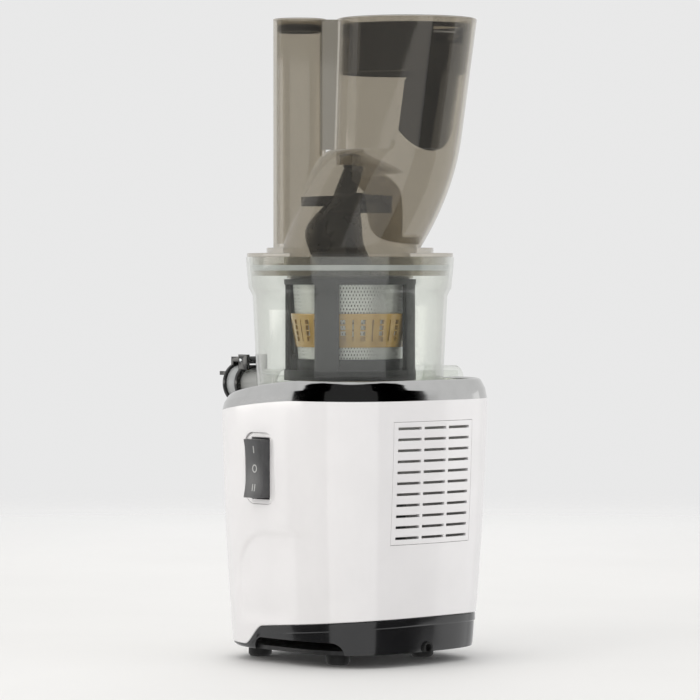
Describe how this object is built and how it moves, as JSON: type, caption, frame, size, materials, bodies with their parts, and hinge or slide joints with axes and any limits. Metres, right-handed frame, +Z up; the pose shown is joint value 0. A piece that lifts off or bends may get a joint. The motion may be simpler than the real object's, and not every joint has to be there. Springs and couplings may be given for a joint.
{
  "type": "cold press juicer",
  "caption": "Upright cold press juicer: white motor base, clear juice bowl with strainer, turning wiper and screw auger, tinted two-chute hopper with a flip gate.",
  "frame": {"origin": "middle of the bounding box in plan, on the surface that the feet stand on", "axes": "+Z up, juice spout towards -Y, rocker switch on the +X side, vent grille on the +Y side, pulp duct on the -X side"},
  "size_m": [0.1982, 0.2308, 0.478],
  "materials": {
    "white_body": "high gloss moulded white plastic",
    "bright_trim": "bright plated ring with a slight satin",
    "black_gloss": "gloss moulded plastic",
    "dark_plastic": "satin moulded plastic",
    "rubber": "matt black rubber",
    "screw_steel": "zinc plated steel",
    "pin_steel": "ground steel",
    "rocker_grey": null,
    "board_green": "coated circuit board",
    "can": "drawn can",
    "lamination": "stacked electrical steel",
    "copper": "enamelled copper wire",
    "die_cast": "die cast",
    "gear_steel": "sintered steel",
    "clear": "clear moulded plastic with a faint grey tint",
    "seal_grey": "grey silicone",
    "cap_black": "satin moulded plastic",
    "gear_ivory": "natural acetal",
    "mesh_steel": "etched stainless sheet",
    "gold": "tinted translucent plastic",
    "auger_dark": "filled engineering plastic",
    "smoke": "clear brown-grey tinted plastic",
    "smoke_dark": "dark tinted plastic"
  },
  "bodies": {
    "base": {"body_shell": "white_body", "trim_ring": "bright_trim", "deck": "black_gloss", "base_skirt": "black_gloss", "bottom_plate": "dark_plastic", "rubber_feet": "rubber", "foot_screws": "screw_steel", "vent_grille": "white_body", "switch_frame": "white_body", "cord_inlet": "rubber", "control_board": "board_green", "capacitor": "can", "motor_stator": "lamination", "motor_coils": "copper", "motor_end_bell": "die_cast", "motor_bearings": "pin_steel", "motor_isolators": "rubber", "gearbox_case": "die_cast", "gearbox_cover": "die_cast", "gearbox_screws": "screw_steel", "gear_pin": "pin_steel", "shaft_bearings": "pin_steel", "shaft_seal": "rubber"},
    "rocker": {"switch_rocker": "rocker_grey"},
    "rotor": {"rotor": "lamination", "cooling_fan": "dark_plastic", "motor_pinion": "gear_steel"},
    "reduction": {"reduction_gear": "gear_steel"},
    "drive": {"output_gear": "gear_steel", "drive_shaft": "pin_steel"},
    "bowl": {"bowl": "clear", "bowl_seal": "seal_grey", "pulp_duct": "clear", "pulp_plug": "seal_grey", "spout_collar": "cap_black", "cap_hinge_pin": "pin_steel", "idler_pin": "pin_steel", "strainer_base": "dark_plastic", "strainer_mesh": "mesh_steel", "strainer_band": "gold", "strainer_ring": "dark_plastic"},
    "cap": {"juice_cap": "cap_black", "cap_gasket": "seal_grey"},
    "idler": {"idler_gear": "gear_ivory"},
    "wiper": {"wiper_gear": "dark_plastic", "wiper_frame": "dark_plastic", "wiper_blades": "seal_grey"},
    "auger": {"auger_screw": "auger_dark", "auger_gear": "gear_ivory", "auger_wing": "auger_dark"},
    "hopper": {"hopper_shell": "smoke", "hopper_base": "smoke", "hopper_gasket": "seal_grey", "hopper_bush": "gear_ivory", "gate_collar": "smoke_dark", "gate_hinge_block": "dark_plastic", "gate_pin": "pin_steel"},
    "gate": {"flip_gate": "smoke_dark"}
  },
  "joints": [
    {"name": "rotor_spin", "type": "hinge", "parent": "base", "child": "rotor", "pos_m": [0.00593, 0.0232, 0.07], "axis": [0, 0, 1], "continuous": true},
    {"name": "reduction_spin", "type": "hinge", "parent": "base", "child": "reduction", "pos_m": [0.03743, 0.0232, 0.14], "axis": [0, 0, 1], "continuous": true},
    {"name": "shaft_spin", "type": "hinge", "parent": "base", "child": "drive", "pos_m": [0.00593, 0.0232, 0.17], "axis": [0, 0, 1], "continuous": true},
    {"name": "rocker_tilt", "type": "hinge", "parent": "base", "child": "rocker", "pos_m": [0.08557, 0.0176, 0.1445], "axis": [0, 1, 0], "range_deg": [-9, 9]},
    {"name": "bowl_lift", "type": "slide", "parent": "base", "child": "bowl", "axis": [0, 0, 1], "range_m": [0, 0.06]},
    {"name": "cap_swing", "type": "hinge", "parent": "bowl", "child": "cap", "pos_m": [0.00593, -0.0893, 0.2209], "axis": [-1, 0, 0], "range_deg": [0, 95]},
    {"name": "idler_spin", "type": "hinge", "parent": "bowl", "child": "idler", "pos_m": [0.01643, 0.04139, 0.211], "axis": [0, 0, 1], "continuous": true},
    {"name": "wiper_spin", "type": "hinge", "parent": "bowl", "child": "wiper", "pos_m": [0.00593, 0.0232, 0.24], "axis": [0, 0, 1], "continuous": true},
    {"name": "auger_spin", "type": "hinge", "parent": "bowl", "child": "auger", "pos_m": [0.00593, 0.0232, 0.26], "axis": [0, 0, 1], "continuous": true},
    {"name": "hopper_lift", "type": "slide", "parent": "bowl", "child": "hopper", "axis": [0, 0, 1], "range_m": [0, 0.08]},
    {"name": "gate_swing", "type": "hinge", "parent": "hopper", "child": "gate", "pos_m": [-0.02321, 0.09375, 0.464], "axis": [-0.9994, 0.0349, 0], "range_deg": [0, 78]}
  ],
  "couplings": [
    {"joint": "reduction_spin", "follows": "rotor_spin", "ratio": -0.25},
    {"joint": "shaft_spin", "follows": "rotor_spin", "ratio": 0.0625},
    {"joint": "auger_spin", "follows": "rotor_spin", "ratio": 0.0625},
    {"joint": "idler_spin", "follows": "rotor_spin", "ratio": -0.083333},
    {"joint": "wiper_spin", "follows": "rotor_spin", "ratio": -0.025}
  ]
}
